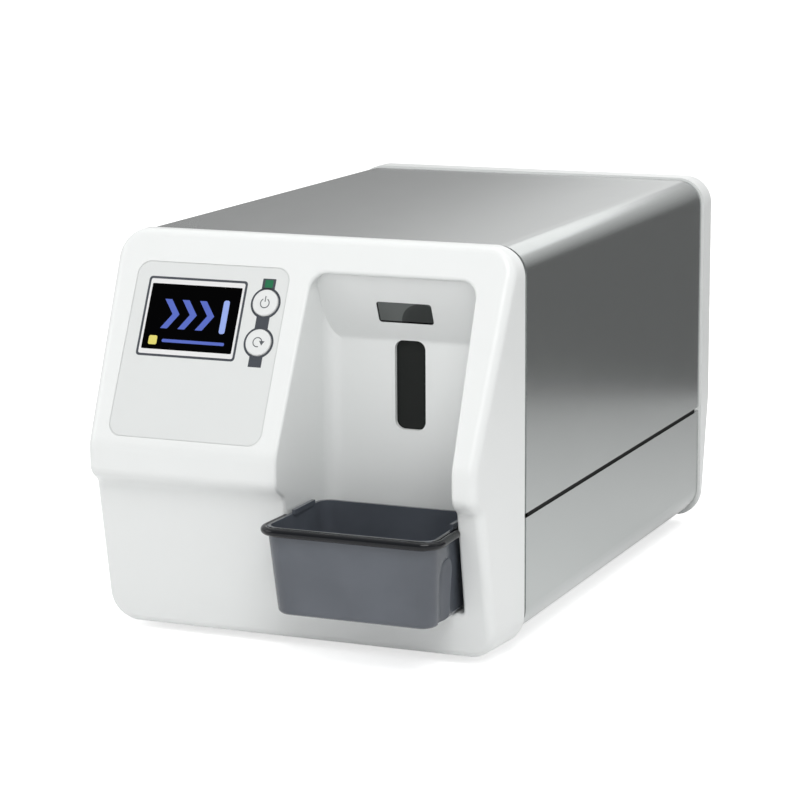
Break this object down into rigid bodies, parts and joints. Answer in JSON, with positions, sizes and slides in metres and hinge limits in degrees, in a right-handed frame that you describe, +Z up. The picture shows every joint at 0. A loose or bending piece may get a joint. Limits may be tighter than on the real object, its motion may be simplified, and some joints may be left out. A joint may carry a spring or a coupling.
{
  "type": "phosphor plate scanner",
  "caption": "Table-top dental phosphor plate scanner: metal covers between moulded bezels, sloped control face, recess with plate slot, pull-out tray and plate transport",
  "frame": {"origin": "on the surface it stands on, under the middle of its whole length and width", "axes": "+Z up, +Y to the rear, +X to the right seen from the front; the front faces -Y"},
  "size_m": [0.2128, 0.3848, 0.1999],
  "materials": {
    "cover_metal": "powder coated silver grey steel sheet, fine satin grain",
    "bezel_white": "moulded off-white ABS, fine spark-eroded satin texture",
    "tray_smoke": "smoke-tinted clear polycarbonate",
    "label_white": "printed polyester film, semi-gloss",
    "window_glass": "clear hard-coated acrylic over the display",
    "sensor_glass": "smoked infrared-pass acrylic",
    "lcd_dark": "liquid crystal display in a pressed frame",
    "cap_white": "moulded off-white ABS key cap",
    "lamp_green": "clear green tinted light pipe",
    "rubber_black": "moulded nitrile rubber",
    "screw_steel": "zinc plated steel",
    "sheet_plain": "zinc plated sheet steel",
    "black_plastic": "moulded black ABS",
    "machined_alu": "clear anodised machined aluminium",
    "ground_steel": "hard chromed ground shaft",
    "brass": "turned brass",
    "board_green": "solder-masked glass epoxy board",
    "mirror_facets": "diamond turned mirror facets",
    "clear_optic": "polished acrylic",
    "tube_black": "black mu-metal shield"
  },
  "bodies": {
    "housing": {"front_bezel": "bezel_white", "rear_bezel": "bezel_white", "top_cover": "cover_metal", "base_pan": "cover_metal", "seam_strips": "black_plastic", "front_frame": "sheet_plain", "rear_frame": "sheet_plain", "feet": "rubber_black", "foot_screws": "screw_steel", "front_screws": "screw_steel", "rear_screws": "screw_steel", "control_label": "label_white", "display_window": "window_glass", "display_module": "lcd_dark", "light_pipe": "lamp_green", "keypad_board": "board_green", "sensor_window": "sensor_glass", "sensor_board": "board_green", "shutter_guide": "black_plastic", "shutter_solenoid": "screw_steel", "mechanism_deck": "machined_alu", "deck_posts": "machined_alu", "front_bearing_block": "machined_alu", "rear_bearing_block": "machined_alu", "guide_rods": "ground_steel", "carriage_motor": "tube_black", "motor_bracket": "machined_alu", "optics_bracket": "machined_alu", "polygon_motor": "tube_black", "laser_module": "brass", "laser_clamp": "machined_alu", "scan_lens": "clear_optic", "lens_mount": "machined_alu", "light_guide": "clear_optic", "photomultiplier": "tube_black", "detector_cradle": "machined_alu", "erase_lamp_board": "board_green", "lamp_bracket": "machined_alu", "main_board": "board_green", "board_standoffs": "brass", "power_supply": "sheet_plain", "mains_inlet": "black_plastic", "network_jack": "screw_steel", "port_board": "board_green"},
    "power_button_cap": {"power_button": "cap_white"},
    "select_button_cap": {"select_button": "cap_white"},
    "tray": {"tray": "tray_smoke"},
    "shutter": {"slot_shutter": "black_plastic", "shutter_plunger": "ground_steel"},
    "carriage": {"plate_carriage": "black_plastic", "carriage_nut": "brass"},
    "screw": {"lead_screw": "ground_steel", "shaft_coupling": "machined_alu", "motor_shaft": "ground_steel"},
    "polygon": {"polygon_mirror": "mirror_facets"},
    "rocker": {"power_rocker": "black_plastic"}
  },
  "joints": [
    {"name": "power_button_press", "type": "slide", "parent": "housing", "child": "power_button_cap", "axis": [0, 0.9018, -0.4321], "range_m": [0, 0.0007], "stiffness_N_per_m": 400},
    {"name": "select_button_press", "type": "slide", "parent": "housing", "child": "select_button_cap", "axis": [0, 0.9018, -0.4321], "range_m": [0, 0.0007], "stiffness_N_per_m": 400},
    {"name": "tray_pull", "type": "slide", "parent": "housing", "child": "tray", "axis": [0, -1, 0], "range_m": [0, 0.035]},
    {"name": "shutter_slide", "type": "slide", "parent": "housing", "child": "shutter", "axis": [1, 0, 0], "range_m": [0, 0.0185]},
    {"name": "carriage_slide", "type": "slide", "parent": "housing", "child": "carriage", "axis": [0, 1, 0], "range_m": [0, 0.105]},
    {"name": "screw_turn", "type": "hinge", "parent": "housing", "child": "screw", "pos_m": [0.04615, -0.0162, 0.091], "axis": [0, 1, 0], "range_deg": [0, 9460]},
    {"name": "polygon_spin", "type": "hinge", "parent": "housing", "child": "polygon", "pos_m": [-0.062, -0.0162, 0.12825], "axis": [0, 1, 0], "continuous": true},
    {"name": "rocker_tilt", "type": "hinge", "parent": "housing", "child": "rocker", "pos_m": [-0.041, 0.1868, 0.095], "axis": [1, 0, 0], "range_deg": [-12, 0]}
  ],
  "couplings": [
    {"joint": "screw_turn", "follows": "carriage_slide", "rad_per_m": 1570.8}
  ]
}
